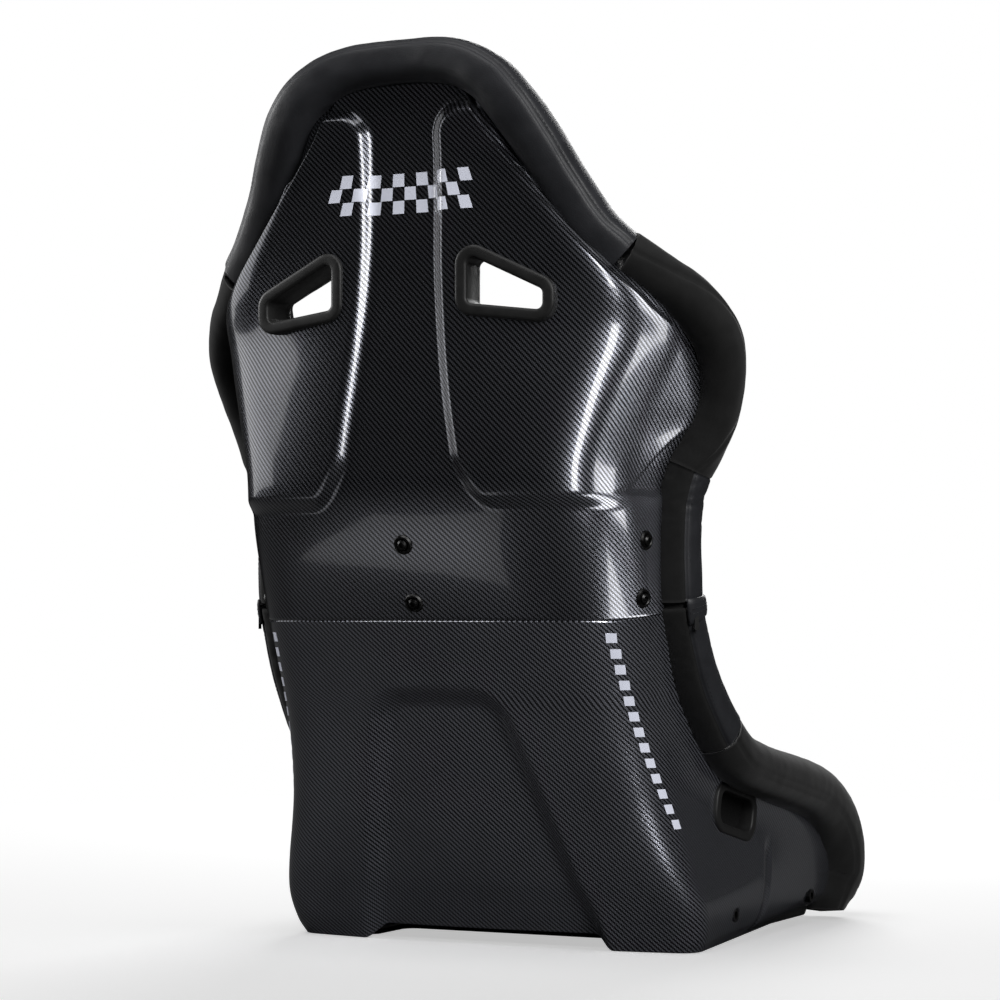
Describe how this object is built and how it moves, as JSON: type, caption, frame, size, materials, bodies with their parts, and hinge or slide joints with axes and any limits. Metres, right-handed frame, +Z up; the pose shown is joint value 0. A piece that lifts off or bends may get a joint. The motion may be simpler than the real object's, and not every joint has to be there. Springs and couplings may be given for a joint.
{
  "type": "racing seat",
  "caption": "Fixed-back racing seat: two-piece laminate shell, padded edge rolls, cushions, harness slots and threaded side mounts.",
  "frame": {"origin": "underside of the seat, on the middle plane, midway between the front and rear side mounts", "axes": "+Z up, +X to the driver's left, the driver faces -Y"},
  "size_m": [0.5812, 0.6587, 0.8761],
  "materials": {
    "carbon_shell": "clear-coated twill laminate",
    "trim": "matt moulded black",
    "steel": "satin",
    "leather": "smooth, fine grain",
    "suede": "matt napped",
    "foam": "open-cell foam",
    "film": "thin printed film"
  },
  "bodies": {
    "root": {"back_foam": "foam", "back_pad": "suede", "base_pan": "carbon_shell", "cover_tab_left": "leather", "cover_tab_right": "leather", "head_roll": "leather", "headrest_pad": "leather", "hip_bolster_left": "suede", "hip_bolster_right": "suede", "hip_roll_left": "leather", "hip_roll_right": "leather", "joint_collar": "carbon_shell", "joint_nuts": "steel", "joint_screws": "steel", "joint_washers": "steel", "lap_slot_frame_left": "trim", "lap_slot_frame_right": "trim", "left_backing_plate": "steel", "lower_back_foam": "foam", "lower_back_pad": "suede", "lower_fastener_strip": "trim", "lower_shell": "carbon_shell", "lumbar_pad": "suede", "rear_backing_plate": "steel", "rear_check_film": "film", "right_backing_plate": "steel", "seat_cushion": "suede", "seat_foam": "foam", "shoulder_bolster_left": "suede", "shoulder_bolster_right": "suede", "shoulder_roll_left": "suede", "shoulder_roll_right": "suede", "shoulder_slot_bezel_left": "trim", "shoulder_slot_bezel_right": "trim", "shoulder_slot_frame_left": "trim", "shoulder_slot_frame_right": "trim", "side_dash_film_left": "film", "side_dash_film_right": "film", "side_mount_inserts_left": "steel", "side_mount_inserts_right": "steel", "side_mount_plate_left": "steel", "side_mount_plate_right": "steel", "tab_hook_left": "trim", "tab_hook_right": "trim", "thigh_bolster_left": "suede", "thigh_bolster_right": "suede", "thigh_roll_left": "suede", "thigh_roll_right": "suede", "upper_back_pad": "suede", "upper_fastener_strip": "trim", "upper_shell": "carbon_shell", "waist_bolster_left": "suede", "waist_bolster_right": "suede", "waist_roll_left": "leather", "waist_roll_right": "leather"}
  },
  "joints": []
}
